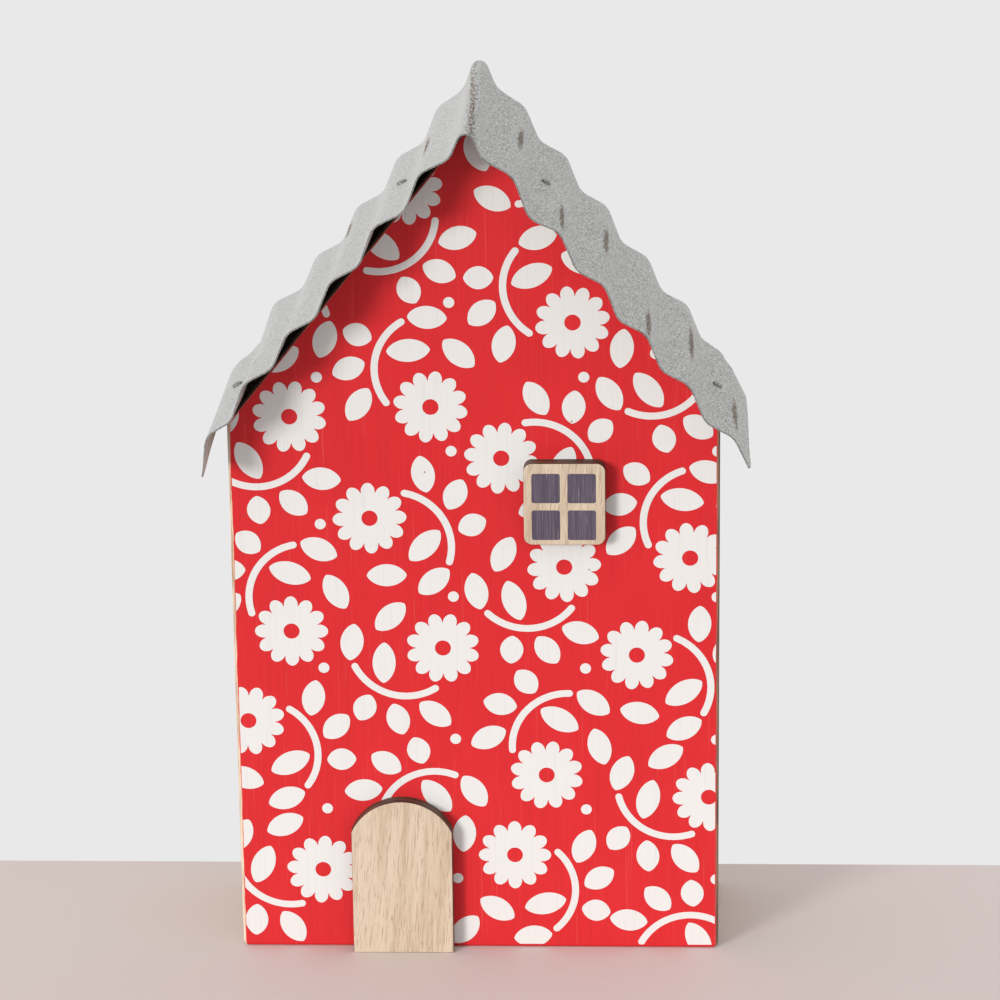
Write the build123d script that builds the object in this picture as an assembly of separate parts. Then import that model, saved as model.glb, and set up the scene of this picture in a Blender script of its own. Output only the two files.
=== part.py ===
from build123d import *
import math
import os

# Ornamental house: a shallow box of boards with a corrugated metal roof.
# Millimetres. The origin is the middle of the base: +X to the right of the
# front, +Y to the back, +Z up. The front face looks along -Y.

# --- Driving dimensions: wooden body ---------------------------------------
house_width = 150.8
house_depth = 54.0
wall_height = 173.8
ridge_height = 266.3
panel_thickness = 9.0
wall_thickness = 9.0
floor_thickness = 9.0
roof_board_thickness = 9.0
corner_round = 2.0
worn_edge = 1.0

# --- Driving dimensions: brads that pin the panels to the frame ------------
brad_diameter = 1.4
brad_length = 25.0
brad_inset = 30.0
brad_stagger = 4.0

# --- Driving dimensions: corrugated roof sheet -----------------------------
sheet_thickness = 0.5
sheet_gap = 0.1
front_overhang = 20.0
back_overhang = 20.0
wave_pitch = 20.8
wave_rise = 3.75
wave_lean = 0.57
bend_radius = 6.5
ridge_radius = 1.8
first_crest = 16.9
left_tail = 12.5
left_tail_angle = 78.0
right_tail = 11.0
right_tail_angle = 64.0

# --- Driving dimensions: roof nails ----------------------------------------
nail_diameter = 1.4
nail_length = 8.0
nail_point = 2.0
nail_tip_radius = 0.1
nail_head_diameter = 3.2
nail_head_height = 0.8
nail_head_round = 0.5
nail_hole_clearance = 0.15
nail_up_flank = 4.3
nail_edge_margin = 2.5

# --- Driving dimensions: boards glued to the front -------------------------
door_width = 31.6
door_height = 51.1
door_shoulder = 40.8
door_thickness = 5.0
door_left_of_middle = 24.0
window_width = 25.0
window_height = 26.0
window_corner = 2.6
window_thickness = 5.0
window_right_of_middle = 27.9
window_sill = 136.0
board_arris = 0.3

# --- Worked out from the sizes above ---------------------------------------
LEFT = -1
RIGHT = 1
touching = 0.01
half_width = house_width / 2
front_face = -house_depth / 2
inner_front = front_face + panel_thickness
inner_depth = house_depth - 2 * panel_thickness
slope_angle = math.atan2(ridge_height - wall_height, half_width)
slope_length = math.hypot(ridge_height - wall_height, half_width)
fall_run = wave_lean * wave_pitch
climb_run = wave_pitch - fall_run


def slope_point(side, station, height=0.0):
    """X and Z of a point on one roof slope: station down from the ridge, height off the wood."""
    x = station * math.cos(slope_angle) + height * math.sin(slope_angle)
    z = ridge_height - station * math.sin(slope_angle) + height * math.cos(slope_angle)
    return side * x, z


def board_underside(x):
    """Height of the roof boards' inner face at a distance x from the middle."""
    return ridge_height - roof_board_thickness / math.cos(slope_angle) - abs(x) * math.tan(slope_angle)


def plate(outline, y_front, thickness):
    """A flat board: a closed outline in X and Z, carried back along +Y."""
    corners = [(x, y_front, z) for x, z in outline]
    return extrude(make_face(Polyline(*corners, close=True)), amount=thickness, dir=(0, 1, 0))


def bottom_corners(board):
    """The two outer edges along Y at the foot of a board."""
    edges = board.edges().filter_by(Axis.Y).group_by(Axis.Z)[0]
    return edges.filter_by(lambda edge: abs(abs(edge.center().X) - half_width) < touching)


# --- Brads -----------------------------------------------------------------
def brad_places(inset):
    """X and Z of each brad: two in each wall, the floor and each roof board."""
    places = []
    for side in (LEFT, RIGHT):
        wall_middle = side * (half_width - wall_thickness / 2)
        places.append((wall_middle, inset))
        places.append((wall_middle, wall_height - inset))
        places.append((side * (half_width - inset), floor_thickness / 2))
        places.append(slope_point(side, inset, -roof_board_thickness / 2))
        places.append(slope_point(side, slope_length - inset, -roof_board_thickness / 2))
    return places


def brads(outer_face, inward, inset):
    """Headless pins driven through one panel into the edges of the frame."""
    shank = Cylinder(brad_diameter / 2, brad_length, align=(Align.CENTER, Align.CENTER, Align.MIN))
    return [Plane((x, outer_face, z), z_dir=(0, inward, 0)) * shank for x, z in brad_places(inset)]


# --- Waves of the sheet ----------------------------------------------------
def trough_lift(run_down, run_up):
    """How far the lowest point of a trough's round bend stays above the trough's corner point.

    The flanks on the two sides have different slopes, so the lowest point isn't under the corner.
    """
    fall = math.atan2(wave_rise, run_down)
    climb = math.atan2(wave_rise, run_up)
    reach = bend_radius / math.cos((fall + climb) / 2)
    return reach * math.cos((climb - fall) / 2) - bend_radius


def crest_stations():
    """Stations of the crests on one slope, out to the first one past the wall."""
    count = math.ceil((slope_length - first_crest) / wave_pitch) + 1
    return [first_crest + wave_pitch * index for index in range(count)]


def trough_stations():
    """Each trough lies a little above the crest that follows it down the slope."""
    return [crest - (1 - wave_lean) * wave_pitch for crest in crest_stations()]


# --- Roof nails ------------------------------------------------------------
def nail_places():
    """A plane for each nail, on the sheet's upper face and square to the flank that climbs from a trough."""
    climb = math.atan2(wave_rise, climb_run)
    along = nail_up_flank * math.cos(climb)
    reach = slope_length - nail_edge_margin - along
    stations = [station for station in trough_stations() if station < reach]
    foot = sheet_gap + sheet_thickness / 2 - trough_lift(fall_run, climb_run)
    height = foot + nail_up_flank * math.sin(climb) + sheet_thickness / 2 * math.cos(climb)
    upright = slope_angle - climb
    places = []
    for side in (LEFT, RIGHT):
        for station in (stations[1], stations[-1]):
            x, z = slope_point(side, station + along - sheet_thickness / 2 * math.sin(climb), height)
            places.append(Plane((x, 0, z), z_dir=(side * math.sin(upright), 0, math.cos(upright))))
    return places


def nail():
    """A round-headed nail with its point down and the underside of its head at Z = 0."""
    shank_length = nail_length - nail_point
    shank = Pos(0, 0, -shank_length / 2) * Cylinder(nail_diameter / 2, shank_length)
    point = Pos(0, 0, -shank_length - nail_point / 2) * Cone(nail_tip_radius, nail_diameter / 2, nail_point)
    head = Pos(0, 0, nail_head_height / 2) * Cylinder(nail_head_diameter / 2, nail_head_height)
    head = fillet(head.edges().group_by(Axis.Z)[-1], nail_head_round)
    return shank + point + head


def nail_hole(radius):
    """The hole that a nail needs, through the sheet and down to its point."""
    length = nail_length + nail_head_height
    return Pos(0, 0, nail_head_height - length / 2) * Cylinder(radius, length)


# --- Wooden body -----------------------------------------------------------
def gable_panel(y_front, outer_face):
    """The front or back board: a rectangle under a pointed gable, its outer arris worn round."""
    outline = [
        (-half_width, 0),
        (half_width, 0),
        (half_width, wall_height),
        (0, ridge_height),
        (-half_width, wall_height),
    ]
    panel = plate(outline, y_front, panel_thickness)
    panel = fillet(bottom_corners(panel), corner_round)
    arris = panel.edges().filter_by_position(Axis.Y, outer_face - touching, outer_face + touching)
    return fillet(arris, worn_edge)


def side_wall(side):
    """An upright board between the panels, its top bevelled to fit under the roof board."""
    inside = half_width - wall_thickness
    outline = [
        (side * half_width, 0),
        (side * inside, 0),
        (side * inside, board_underside(inside)),
        (side * half_width, board_underside(half_width)),
    ]
    wall = plate(outline, inner_front, inner_depth)
    return fillet(bottom_corners(wall), corner_round)


def floor_board():
    """The board that closes the box between the feet of the walls."""
    inside = half_width - wall_thickness
    outline = [(-inside, 0), (inside, 0), (inside, floor_thickness), (-inside, floor_thickness)]
    return plate(outline, inner_front, inner_depth)


def roof_board(side):
    """A sloping board under the sheet, cut upright at the ridge and at the wall's face."""
    outline = [
        (0, ridge_height),
        (side * half_width, wall_height),
        (side * half_width, board_underside(half_width)),
        (0, board_underside(0)),
    ]
    return plate(outline, inner_front, inner_depth)


# --- Corrugated roof -------------------------------------------------------
def sheet_half(side, tail, tail_angle):
    """Corner points of one slope's waves, from the ridge down to the eave's drooping end."""
    seat = sheet_gap + sheet_thickness / 2
    high = seat - trough_lift(fall_run, climb_run) + wave_rise
    run_down = trough_stations()[0] + high * math.tan(slope_angle)
    points = []
    for trough, crest in zip(trough_stations(), crest_stations()):
        points.append(slope_point(side, trough, seat - trough_lift(run_down, climb_run)))
        points.append(slope_point(side, crest, high))
        run_down = fall_run
    last_x, last_z = points[-1]
    fall = math.radians(tail_angle)
    points.append((last_x + side * tail * math.cos(fall), last_z - tail * math.sin(fall)))
    return (0, ridge_height + high / math.cos(slope_angle)), points


def roof_sheet():
    """One sheet with its waves running front to back, folded sharply over the ridge."""
    ridge, left_points = sheet_half(LEFT, left_tail, left_tail_angle)
    right_points = sheet_half(RIGHT, right_tail, right_tail_angle)[1]
    points = left_points[::-1] + [ridge] + right_points
    radii = [bend_radius] * (len(points) - 2)
    radii[len(left_points) - 1] = ridge_radius
    section = trace(FilletPolyline(*points, radius=radii), line_width=sheet_thickness)
    front_edge = Plane((0, front_face - front_overhang, 0), x_dir=(1, 0, 0), z_dir=(0, -1, 0))
    depth = front_overhang + house_depth + back_overhang
    return extrude(front_edge * section, amount=depth, dir=(0, 1, 0))


# --- Boards glued to the front ---------------------------------------------
def soft_arris(board):
    """Take the sharpness off the edges round a board's front face."""
    return fillet(board.edges().group_by(Axis.Y)[0], board_arris)


def door():
    """A plain board with a low arched head, standing on the same surface as the house."""
    left = -door_left_of_middle - door_width / 2
    right = left + door_width
    y_back = front_face
    foot = Polyline(
        (left, y_back, door_shoulder),
        (left, y_back, 0),
        (right, y_back, 0),
        (right, y_back, door_shoulder),
    )
    arch = ThreePointArc(
        (right, y_back, door_shoulder),
        (-door_left_of_middle, y_back, door_height),
        (left, y_back, door_shoulder),
    )
    return soft_arris(extrude(make_face(foot + arch), amount=door_thickness, dir=(0, -1, 0)))


def window():
    """A small board with rounded corners; its four panes are printed on it."""
    middle = window_sill + window_height / 2
    block = Pos(window_right_of_middle, front_face - window_thickness / 2, middle) * Box(
        window_width, window_thickness, window_height
    )
    return soft_arris(fillet(block.edges().filter_by(Axis.Y), window_corner))


# --- Assembly --------------------------------------------------------------
def build_house():
    """Every node of the house by name, each with the holes that its fasteners need."""
    front_brads = brads(front_face, 1, brad_inset)
    back_brads = brads(-front_face, -1, brad_inset - brad_stagger)
    nails = [place * nail() for place in nail_places()]
    board_holes = [place * nail_hole(nail_diameter / 2) for place in nail_places()]
    sheet_holes = [place * nail_hole(nail_diameter / 2 + nail_hole_clearance) for place in nail_places()]
    pinned = front_brads + back_brads
    return {
        "front_panel": gable_panel(front_face, front_face) - front_brads,
        "back_panel": gable_panel(-front_face - panel_thickness, -front_face) - back_brads,
        "left_wall": side_wall(LEFT) - pinned,
        "right_wall": side_wall(RIGHT) - pinned,
        "floor_board": floor_board() - pinned,
        "left_roof_board": roof_board(LEFT) - pinned - board_holes,
        "right_roof_board": roof_board(RIGHT) - pinned - board_holes,
        "front_brads": Compound(front_brads),
        "back_brads": Compound(back_brads),
        "roof_sheet": roof_sheet() - sheet_holes,
        "roof_nails": Compound(nails),
        "door": door(),
        "window": window(),
    }


os.makedirs("parts", exist_ok=True)
for name, shape in build_house().items():
    export_step(shape, f"parts/{name}.step")
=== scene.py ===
import math

import bpy
import numpy as np
from bpy.props import FloatProperty, FloatVectorProperty, IntProperty, PointerProperty
from mathutils import Matrix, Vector
from mathutils.geometry import delaunay_2d_cdt


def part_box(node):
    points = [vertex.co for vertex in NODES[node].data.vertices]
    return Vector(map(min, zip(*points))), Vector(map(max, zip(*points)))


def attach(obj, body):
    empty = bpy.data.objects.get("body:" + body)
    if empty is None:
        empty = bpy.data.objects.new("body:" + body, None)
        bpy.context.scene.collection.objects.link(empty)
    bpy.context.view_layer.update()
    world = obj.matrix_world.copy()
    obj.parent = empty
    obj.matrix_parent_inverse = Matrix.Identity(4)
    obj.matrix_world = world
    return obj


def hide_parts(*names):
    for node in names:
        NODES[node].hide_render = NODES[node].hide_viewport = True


# Ornamental wooden house with a printed front and a corrugated metal roof.
# Metres. The origin is the middle of the base: +X to the right of the front,
# +Y to the back, +Z up. The front face looks along -Y.

bl_info = {
    "name": "Ornamental House",
    "version": (1, 0, 0),
    "blender": (4, 5, 0),
    "location": "View3D > Sidebar > House",
    "description": "Builds the looks of a small wooden house with a printed front and a corrugated roof",
    "category": "Object",
}

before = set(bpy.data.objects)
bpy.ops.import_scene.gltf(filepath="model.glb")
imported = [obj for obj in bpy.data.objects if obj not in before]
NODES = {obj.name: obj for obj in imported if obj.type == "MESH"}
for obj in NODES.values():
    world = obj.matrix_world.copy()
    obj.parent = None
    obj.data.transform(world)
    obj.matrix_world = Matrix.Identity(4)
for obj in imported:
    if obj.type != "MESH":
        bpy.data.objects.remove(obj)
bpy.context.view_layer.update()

MM = 0.001
BODY = "root"
LEFT = -1
RIGHT = 1

PANEL_LOW, PANEL_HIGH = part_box("front_panel")
SHEET_LOW, SHEET_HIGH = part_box("roof_sheet")
WINDOW_LOW, WINDOW_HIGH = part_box("window")
BACK_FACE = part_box("back_panel")[1].y
FRONT_FACE = PANEL_LOW.y
HALF_WIDTH = PANEL_HIGH.x
RIDGE_HEIGHT = PANEL_HIGH.z
WALL_HEIGHT = 173.8 * MM
SLOPE_ANGLE = math.atan2(RIDGE_HEIGHT - WALL_HEIGHT, HALF_WIDTH)
SLOPE_LENGTH = math.hypot(RIDGE_HEIGHT - WALL_HEIGHT, HALF_WIDTH)
# The room between a board's face and the film of paint on it.
FILM_GAP = 0.01 * MM


def srgb(red, green, blue):
    """A screen colour of 0 to 255 as the linear one that shaders use."""
    share = np.array([red, green, blue]) / 255
    linear = np.where(share <= 0.04045, share / 12.92, ((share + 0.055) / 1.055) ** 2.4)
    return tuple(float(value) for value in linear)


# --- Settings --------------------------------------------------------------
def size(name, description, default, **options):
    """A length that the sidebar shows."""
    return FloatProperty(name=name, description=description, default=default, unit="LENGTH", **options)


def colour(name, description, default):
    """A colour that the sidebar shows."""
    return FloatVectorProperty(
        name=name, description=description, default=default, subtype="COLOR", size=3, min=0, max=1
    )


def share(name, description, default):
    """A number from 0 to 1 that the sidebar shows."""
    return FloatProperty(name=name, description=description, default=default, subtype="FACTOR", min=0, max=1)


class BoardSettings(bpy.types.PropertyGroup):
    """The paint and the woods of the boards."""

    paint: colour("Paint", "Colour of the painted front", srgb(212, 31, 38))
    worn_wood: colour("Worn wood", "Wood that shows along the rubbed left edge", srgb(226, 206, 182))
    # Painted shade: the bare wood of the front's right edge is given this darker brown, as that edge faces
    # away from the main light.
    shaded_right_edge: colour("Dark edge", "Stained wood along the right edge", srgb(112, 78, 66))
    bare_wood: colour("Bare wood", "Wood of the box behind the front", srgb(206, 176, 134))
    oak: colour("Oak", "Face of the door and the window", srgb(211, 192, 169))
    # Burnt brown of the door's and the window's cut edges; on the gable's sloping edges the same dark brown
    # is painted shade of the gap under the sheet.
    burnt_and_gable_shade: colour("Scorched edge", "Cut edges of the door, the window and the gable", srgb(62, 42, 32))
    worn_width: size("Worn width", "Width of the rubbed strip up each side of the front", 0.9 * MM)


class PrintSettings(bpy.types.PropertyGroup):
    """The flower pattern on the front."""

    ink: colour("Ink", "Colour of the printed pattern", srgb(226, 225, 223))
    film: size("Film", "Thickness of the printed film", 0.05 * MM)
    margin: size("Margin", "How far the print stays inside the board's outline", 1.1 * MM)
    pitch: size("Pitch", "From the middle of one group of marks to the next", 47 * MM)
    flower_radius: size("Flower radius", "From the middle of a flower to its tips", 11.4 * MM)
    eye_radius: size("Eye radius", "Radius of a flower's unprinted middle", 2.5 * MM)
    leaf_width: size("Leaf width", "Width of a leaf at its middle", 7.2 * MM)
    stem_width: size("Stem width", "Width of a stem", 2.2 * MM)
    dot_radius: size("Dot radius", "Radius of a dot", 1.7 * MM)


class PaneSettings(bpy.types.PropertyGroup):
    """The four panes painted on the window board."""

    paint: colour("Pane paint", "Colour of the panes", srgb(77, 67, 84))
    film: size("Film", "Thickness of the paint", 0.06 * MM)
    corner: size("Corner", "Corner radius of a pane", 0.7 * MM)


class RoofSettings(bpy.types.PropertyGroup):
    """The corrugated sheet."""

    thickness: size("Thickness", "Thickness of the sheet", 0.5 * MM)
    gap: size("Gap", "Clearance between the wood and the troughs", 0.1 * MM)
    wave_pitch: size("Wave pitch", "From one crest to the next", 20.8 * MM)
    wave_rise: size("Wave rise", "Height of a crest over a trough", 3.75 * MM)
    wave_lean: share("Wave lean", "Share of a wave that falls", 0.57)
    bend_radius: size("Bend radius", "Radius of each bend", 6.5 * MM)
    ridge_radius: size("Ridge radius", "Radius of the fold over the ridge", 2.6 * MM)
    first_crest: size("First crest", "From the ridge to the first crest", 16.9 * MM)
    left_tail: size("Left tail", "Length of the left eave's drooping end", 12.5 * MM)
    right_tail: size("Right tail", "Length of the right eave's drooping end", 11.0 * MM)
    nail_up_flank: size("Nail up flank", "From a trough's corner up the flank to its nail", 4.3 * MM)
    metal: colour("Metal", "Colour of the zinc coat", srgb(215, 216, 212))
    tarnish: colour("Tarnish", "Colour of the zinc's dark grains", srgb(134, 136, 132))
    rust: colour("Rust", "Colour of the worn places", srgb(104, 80, 66))
    columns: IntProperty(name="Columns", description="Points across the sheet", default=500, min=100)
    rows: IntProperty(name="Rows", description="Points along the waves", default=68, min=10)


class StageSettings(bpy.types.PropertyGroup):
    """The floor, the lights and the camera."""

    floor: colour("Floor", "Tone of the floor round the house", srgb(220, 207, 203))
    far_floor: colour("Far floor", "Tone of the floor behind the house", srgb(234, 233, 234))
    far_edge: size("Far edge", "Where the paler floor starts", 42.0 * MM)
    key_strength: FloatProperty(name="Key light", description="Strength of the main light", default=2.1)
    key_softness: FloatProperty(
        name="Key softness", description="Width of the main light", default=math.radians(17), subtype="ANGLE"
    )
    room_strength: FloatProperty(name="Room light", description="Strength of the even light", default=0.81)


# --- Meshes ----------------------------------------------------------------
def make_piece(name, points, faces, replaces=(), smooth=True):
    """A mesh object riding on the house, from an array of points and a list of faces."""
    mesh = bpy.data.meshes.new(name)
    mesh.from_pydata(points.tolist(), [], faces)
    mesh.polygons.foreach_set("use_smooth", np.full(len(mesh.polygons), smooth))
    mesh.update()
    piece = bpy.data.objects.new(name, mesh)
    bpy.context.scene.collection.objects.link(piece)
    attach(piece, BODY)
    if replaces:
        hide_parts(*replaces)
    return piece


def grid_faces(columns, rows, closed=False):
    """Quads of a grid whose point number is column * rows + row.

    A closed grid joins its last column to its first.
    """
    numbers = np.arange(columns * rows).reshape(columns, rows)
    after = np.roll(numbers, -1, axis=0)
    here = numbers if closed else numbers[:-1]
    after = after if closed else after[:-1]
    corners = here[:, :-1], here[:, 1:], after[:, 1:], after[:, :-1]
    return np.stack(corners, axis=-1).reshape(-1, 4)


def thicken(piece, thickness, offset):
    """Give a surface its wall; offset is 1 outwards from it and 0 half each way."""
    wall = piece.modifiers.new("Wall", "SOLIDIFY")
    wall.thickness = thickness
    wall.offset = offset
    wall.use_even_offset = True


def sharpen_rim(mesh):
    """Keep a smooth surface's open edges crisp, so that its wall has a cut edge."""
    uses = np.zeros(len(mesh.edges), int)
    loops = np.zeros(len(mesh.loops), int)
    mesh.loops.foreach_get("edge_index", loops)
    np.add.at(uses, loops, 1)
    mesh.edges.foreach_set("use_edge_sharp", uses == 1)


def unit(vectors):
    """Vectors of the same direction and length 1."""
    return vectors / np.linalg.norm(vectors, axis=-1, keepdims=True)


def bell(distance):
    """A smooth hill: 1 at distance 0 and near nothing past 2."""
    return np.exp(-(distance**2))


def rise(value, start, end):
    """A smooth step from 0 at start to 1 at end."""
    part = np.clip((value - start) / (end - start), 0, 1)
    return part * part * (3 - 2 * part)


# --- Materials -------------------------------------------------------------
class Recipe:
    """Adds nodes to one new material."""

    def __init__(self, name):
        self.material = bpy.data.materials.new(name)
        self.material.use_nodes = True
        self.tree = self.material.node_tree
        self.shader = self.tree.nodes["Principled BSDF"]
        self.place = self.add("ShaderNodeTexCoord").outputs["Object"]

    def add(self, kind, inputs=None, **settings):
        """A node with its settings; each input is a number, a colour or another node's output."""
        node = self.tree.nodes.new(kind)
        for key, value in settings.items():
            setattr(node, key, value)
        for key, value in (inputs or {}).items():
            self.set(node, key, value)
        return node

    def set(self, node, key, value):
        """Link or set one input."""
        if isinstance(value, bpy.types.NodeSocket):
            self.tree.links.new(value, node.inputs[key])
        elif isinstance(value, tuple) and len(value) == 3 and node.inputs[key].type == "RGBA":
            node.inputs[key].default_value = (*value, 1)
        else:
            node.inputs[key].default_value = value

    def mapped(self, scale, turn=0.0):
        """Object coordinates turned about Y and then scaled."""
        turned = self.add("ShaderNodeMapping", {"Vector": self.place, "Rotation": (0, turn, 0)})
        return self.add("ShaderNodeMapping", {"Vector": turned.outputs[0], "Scale": scale}).outputs[0]

    def noise(self, scale, detail=3.0, roughness=0.55, turn=0.0, warp=0.0):
        """Cloudy values about 0.5, with that many bumps to the metre along X, Y and Z."""
        inputs = {"Vector": self.mapped(scale, turn), "Scale": 1.0, "Detail": detail}
        inputs.update({"Roughness": roughness, "Distortion": warp})
        return self.add("ShaderNodeTexNoise", inputs).outputs[0]

    def stretch(self, value, low, high, to_low=0.0, to_high=1.0):
        """A value's range stretched to another, and held inside it."""
        inputs = {"Value": value, 1: low, 2: high, 3: to_low, 4: to_high}
        return self.add("ShaderNodeMapRange", inputs, interpolation_type="SMOOTHSTEP").outputs[0]

    def math(self, operation, first, second=0.0):
        """Two values worked together."""
        return self.add("ShaderNodeMath", {0: first, 1: second}, operation=operation).outputs[0]

    def mix(self, factor, first, second, blend="MIX"):
        """One colour over another."""
        node = self.add("ShaderNodeMix", data_type="RGBA", blend_type=blend)
        for key, value in ((0, factor), (6, first), (7, second)):
            self.set(node, key, value)
        return node.outputs[2]

    def axis(self, name):
        """One of the object's coordinates, in metres."""
        return self.add("ShaderNodeSeparateXYZ", {0: self.place}).outputs[name]

    def facing(self, name):
        """How squarely the surface faces an axis, from 0 to 1."""
        normal = self.add("ShaderNodeNewGeometry").outputs["Normal"]
        turned = self.add("ShaderNodeVectorTransform", {0: normal}, vector_type="NORMAL",
                          convert_from="WORLD", convert_to="OBJECT").outputs[0]
        return self.math("ABSOLUTE", self.add("ShaderNodeSeparateXYZ", {0: turned}).outputs[name])

    def specks(self, per_metre, radius, kept):
        """Small round marks at random places: 1 inside a mark; kept is the share of cells that hold one."""
        cells = self.add("ShaderNodeTexVoronoi", {"Vector": self.mapped((per_metre,) * 3), "Scale": 1.0})
        near = self.stretch(cells.outputs["Distance"], radius, radius * 0.5)
        chance = self.add("ShaderNodeSeparateColor", {0: cells.outputs["Color"]}).outputs[0]
        return self.math("MULTIPLY", near, self.math("LESS_THAN", chance, kept))

    def bump(self, height, distance, strength=1.0):
        """Relief of that height in metres."""
        node = self.add("ShaderNodeBump", {"Height": height, "Distance": distance, "Strength": strength})
        self.set(self.shader, "Normal", node.outputs[0])

    def finish(self, base, roughness, **constants):
        """Set the shader's inputs and give back the material."""
        self.set(self.shader, "Base Color", base)
        self.set(self.shader, "Roughness", roughness)
        for key, value in constants.items():
            self.shader.inputs[key.replace("_", " ")].default_value = value
        return self.material


GRAIN = (1500.0, 1500.0, 24.0)
FINE_GRAIN = (3600.0, 3600.0, 70.0)


def upright_grain(recipe):
    """The upright grain of the front's board, which both paints let through: low in a pore."""
    coarse = recipe.noise(GRAIN, detail=4.0, roughness=0.6)
    fine = recipe.noise(FINE_GRAIN, detail=2.0)
    return recipe.math("ADD", recipe.math("MULTIPLY", coarse, 0.65), recipe.math("MULTIPLY", fine, 0.35))


def side_distance(recipe):
    """Distance in metres from the front board's nearer upright side."""
    return recipe.math("SUBTRACT", HALF_WIDTH, recipe.math("ABSOLUTE", recipe.axis("X")))


def gable_distance(recipe):
    """Distance in metres below the nearer slope of the gable."""
    fall = recipe.math("MULTIPLY", recipe.math("ABSOLUTE", recipe.axis("X")), math.sin(SLOPE_ANGLE))
    below = recipe.math("SUBTRACT", RIDGE_HEIGHT, recipe.axis("Z"))
    drop = recipe.math("MULTIPLY", below, math.cos(SLOPE_ANGLE))
    return recipe.math("SUBTRACT", drop, fall)


def painted_wood(boards):
    """Red paint on the board's face, rubbed off to bare wood up both sides; the right side's bare wood is
    painted darker as shade, and the sloping edges are painted dark brown as the shade in the gap under the
    sheet.
    """
    recipe = Recipe("red_paint_on_wood")
    grain = upright_grain(recipe)
    patches = recipe.noise((60.0, 60.0, 30.0), detail=2.0)
    deep = tuple(value * 0.93 for value in boards.paint)
    bright = tuple(min(1.0, value * 1.05 + 0.003) for value in boards.paint)
    paint = recipe.mix(recipe.stretch(grain, 0.4, 0.56), deep, tuple(boards.paint))
    paint = recipe.mix(recipe.math("MULTIPLY", recipe.stretch(patches, 0.4, 0.7), 0.5), paint, bright)
    paint = recipe.mix(recipe.specks(200.0, 0.09, 0.06), paint, srgb(150, 44, 38))
    scratches = recipe.stretch(recipe.noise((3400.0, 3400.0, 26.0), detail=1.0), 0.7, 0.76)
    paint = recipe.mix(recipe.math("MULTIPLY", scratches, 0.35), paint, srgb(238, 118, 104))
    streak = recipe.noise((1500.0, 1500.0, 60.0), detail=2.0)
    wood = recipe.mix(recipe.stretch(streak, 0.3, 0.6), srgb(170, 134, 104), tuple(boards.worn_wood))
    # Painted shade: right of the middle the bare wood takes the darker brown, standing in for the shade on
    # that side.
    shaded_right_wood = recipe.mix(recipe.stretch(streak, 0.35, 0.65), tuple(boards.shaded_right_edge), srgb(158, 120, 96))
    wood = recipe.mix(recipe.math("GREATER_THAN", recipe.axis("X"), 0.0), wood, shaded_right_wood)
    # Painted shade: the sloping edges and the top faces behind them, which lie in the dark gap under the
    # sheet, take the dark brown.
    gable = recipe.stretch(gable_distance(recipe), 1.0 * MM, 0.6 * MM)
    wood = recipe.mix(gable, wood, tuple(boards.burnt_and_gable_shade))
    cloud = recipe.noise((500.0, 500.0, 160.0))
    ragged = recipe.math("MULTIPLY", recipe.math("SUBTRACT", cloud, 0.5), 0.9 * MM)
    distance = recipe.math("ADD", side_distance(recipe), ragged)
    rubbed = recipe.stretch(distance, boards.worn_width * 1.1, boards.worn_width * 0.85)
    behind = recipe.math("GREATER_THAN", recipe.axis("Y"), FRONT_FACE + 0.7 * MM)
    bare = recipe.math("MAXIMUM", recipe.math("MAXIMUM", rubbed, behind), gable)
    recipe.bump(grain, 0.06 * MM, 0.5)
    roughness = recipe.stretch(grain, 0.3, 0.7, 0.6, 0.5)
    return recipe.finish(recipe.mix(bare, paint, wood), roughness, Specular_IOR_Level=0.35)


def bare_wood(boards, name, turn=0.0, tone=1.0):
    """Plain softwood whose grain runs along Z, turned about Y by an angle."""
    recipe = Recipe(name)
    light = tuple(min(1.0, value * tone) for value in boards.bare_wood)
    dark = tuple(value * 0.62 for value in light)
    bands = recipe.noise((170.0, 170.0, 7.0), detail=3.0, turn=turn, warp=0.6)
    fibre = recipe.noise((1700.0, 1700.0, 55.0), detail=3.0, turn=turn)
    pores = recipe.stretch(recipe.noise((2600.0, 2600.0, 160.0), turn=turn), 0.63, 0.7)
    wood = recipe.mix(recipe.stretch(bands, 0.35, 0.68), light, dark)
    wood = recipe.mix(recipe.math("MULTIPLY", recipe.stretch(fibre, 0.4, 0.7), 0.35), wood, dark)
    wood = recipe.mix(recipe.math("MULTIPLY", pores, 0.6), wood, tuple(value * 0.35 for value in light))
    recipe.bump(recipe.math("SUBTRACT", fibre, pores), 0.08 * MM, 0.6)
    return recipe.finish(wood, recipe.stretch(fibre, 0.3, 0.7, 0.66, 0.82))


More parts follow.
